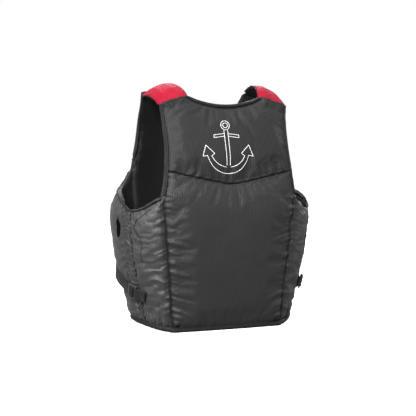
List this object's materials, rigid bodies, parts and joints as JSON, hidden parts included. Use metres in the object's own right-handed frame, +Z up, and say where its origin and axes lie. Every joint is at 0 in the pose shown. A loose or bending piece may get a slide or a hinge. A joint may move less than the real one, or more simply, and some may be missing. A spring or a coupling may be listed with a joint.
{
  "type": "life jacket",
  "caption": "Foam-filled sleeveless buoyancy vest with a front zip, padded shoulders, elastic side gussets and webbing side adjusters.",
  "frame": {"origin": "bottom centre of the bounding box, at the level of the hem", "axes": "+Z up to the shoulders, -Y to the front where the zip is, +Y to the back, +X to the wearer's left"},
  "size_m": [0.4678, 0.2654, 0.5505],
  "materials": {
    "panel_fabric": "charcoal ribbed nylon",
    "ripstop_fabric": "slightly shiny dark grey nylon",
    "red_fabric": "red woven nylon",
    "lining_fabric": "black mesh lining",
    "closed_cell_foam": "pale closed-cell foam",
    "binding_tape": "black woven binding",
    "elastic_fabric": "gathered dark grey elastic fabric",
    "webbing": "black polyester webbing",
    "zip_tape": "black woven zip tape",
    "zip_plastic": "moulded black plastic",
    "black_metal": "black coated metal",
    "buckle_plastic": "satin black plastic",
    "white_print": "white printed line",
    "thread": "black sewing thread"
  },
  "bodies": {
    "jacket": {"back_cover": "panel_fabric", "back_foam": "closed_cell_foam", "back_lining": "lining_fabric", "back_yoke_cover": "panel_fabric", "back_yoke_foam": "closed_cell_foam", "hem_binding": "binding_tape", "left_anchor_webbing": "webbing", "left_arm_binding": "binding_tape", "left_elastic_gusset": "elastic_fabric", "left_front_cover": "ripstop_fabric", "left_front_foam": "closed_cell_foam", "left_front_lining": "lining_fabric", "left_front_pocket": "ripstop_fabric", "left_shoulder_cover": "red_fabric", "left_shoulder_foam": "closed_cell_foam", "left_shoulder_lining": "lining_fabric", "left_side_cover": "ripstop_fabric", "left_side_foam": "closed_cell_foam", "left_side_lining": "lining_fabric", "left_strap_run": "webbing", "left_underarm_cover": "ripstop_fabric", "left_underarm_foam": "closed_cell_foam", "left_underarm_lining": "lining_fabric", "left_zip_tape": "zip_tape", "left_zip_teeth": "zip_plastic", "neck_binding": "binding_tape", "right_anchor_webbing": "webbing", "right_arm_binding": "binding_tape", "right_elastic_gusset": "elastic_fabric", "right_front_cover": "ripstop_fabric", "right_front_foam": "closed_cell_foam", "right_front_lining": "lining_fabric", "right_front_pocket": "ripstop_fabric", "right_shoulder_cover": "red_fabric", "right_shoulder_foam": "closed_cell_foam", "right_shoulder_lining": "lining_fabric", "right_side_cover": "ripstop_fabric", "right_side_foam": "closed_cell_foam", "right_side_lining": "lining_fabric", "right_strap_run": "webbing", "right_underarm_cover": "ripstop_fabric", "right_underarm_foam": "closed_cell_foam", "right_underarm_lining": "lining_fabric", "right_zip_tape": "zip_tape", "right_zip_teeth": "zip_plastic", "zip_box": "zip_plastic", "zip_top_stops": "zip_plastic"},
    "slider": {"zip_slider": "black_metal"},
    "pull": {"zip_pull": "black_metal"},
    "left_buckle": {"left_ladder_lock": "buckle_plastic", "left_strap_tail": "webbing"},
    "right_buckle": {"right_ladder_lock": "buckle_plastic", "right_strap_tail": "webbing"}
  },
  "joints": [
    {"name": "zip_travel", "type": "slide", "parent": "jacket", "child": "slider", "axis": [0, 0, -1], "range_m": [0, 0.3806], "deforming": ["left_zip_teeth", "right_zip_teeth"]},
    {"name": "zip_pull_swing", "type": "hinge", "parent": "slider", "child": "pull", "pos_m": [0, -0.11635, 0.407], "axis": [-1, 0, 0], "range_deg": [0, 160]},
    {"name": "left_buckle_tilt", "type": "hinge", "parent": "jacket", "child": "left_buckle", "pos_m": [0.19854, 0.05967, 0.0845], "axis": [0.0699, 0.3784, 0.923], "range_deg": [0, 32]},
    {"name": "right_buckle_tilt", "type": "hinge", "parent": "jacket", "child": "right_buckle", "pos_m": [-0.20041, 0.06048, 0.09279], "axis": [0.3104, 0.116, -0.9435], "range_deg": [0, 32]}
  ]
}
